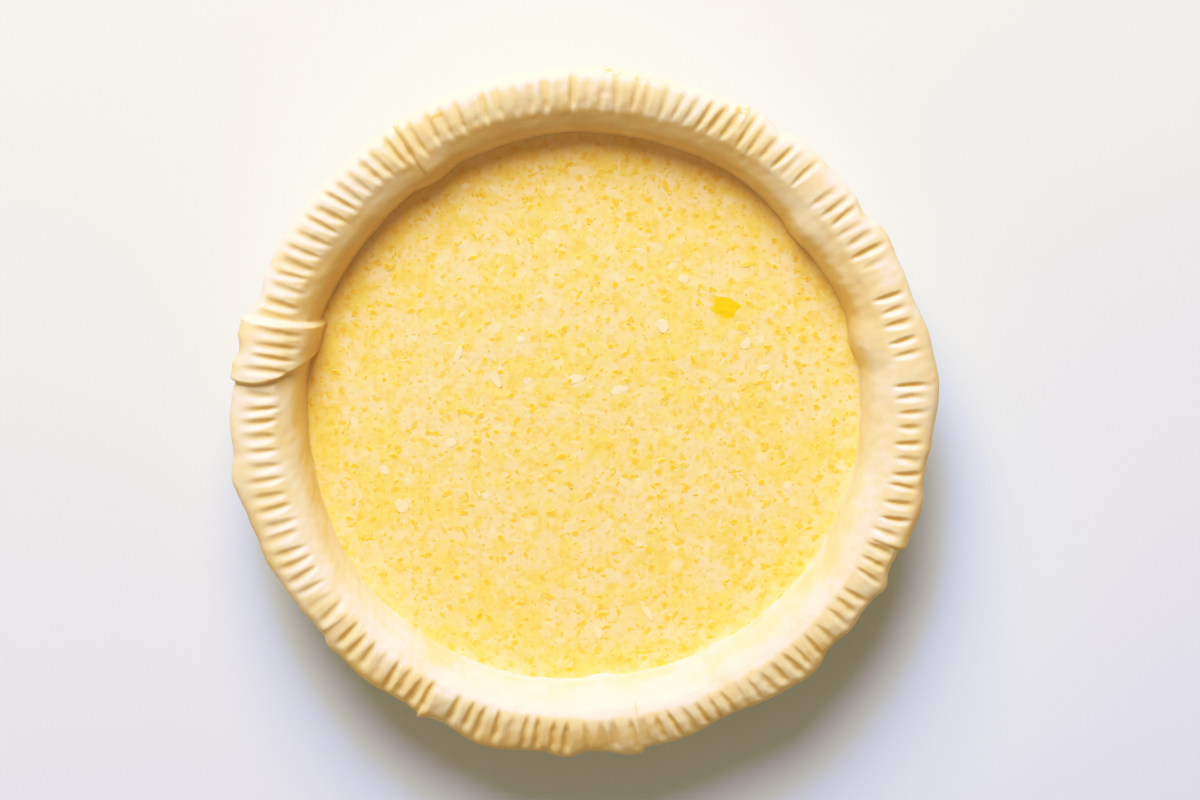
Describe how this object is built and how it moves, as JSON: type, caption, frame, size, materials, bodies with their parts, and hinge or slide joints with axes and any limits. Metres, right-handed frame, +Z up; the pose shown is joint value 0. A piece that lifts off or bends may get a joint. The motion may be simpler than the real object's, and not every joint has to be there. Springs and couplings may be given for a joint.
{
  "type": "unbaked coconut pie in its dish",
  "caption": "Unbaked coconut pie: a fork-crimped dough crust lining a shallow round pie dish, filled below its rim with a coconut and butter filling.",
  "frame": {"origin": "middle of the dish's flat base", "axes": "+Z up, square to the base; +Y towards the far side as the pie is seen, +X to the right"},
  "size_m": [0.2526, 0.2519, 0.0467],
  "materials": {
    "dish_glaze": "smooth white glaze",
    "raw_dough": "soft raw pastry dough",
    "coconut_filling": "wet coconut filling with butter specks"
  },
  "bodies": {
    "root": {"dish": "dish_glaze", "crust": "raw_dough", "filling": "coconut_filling"}
  },
  "joints": []
}
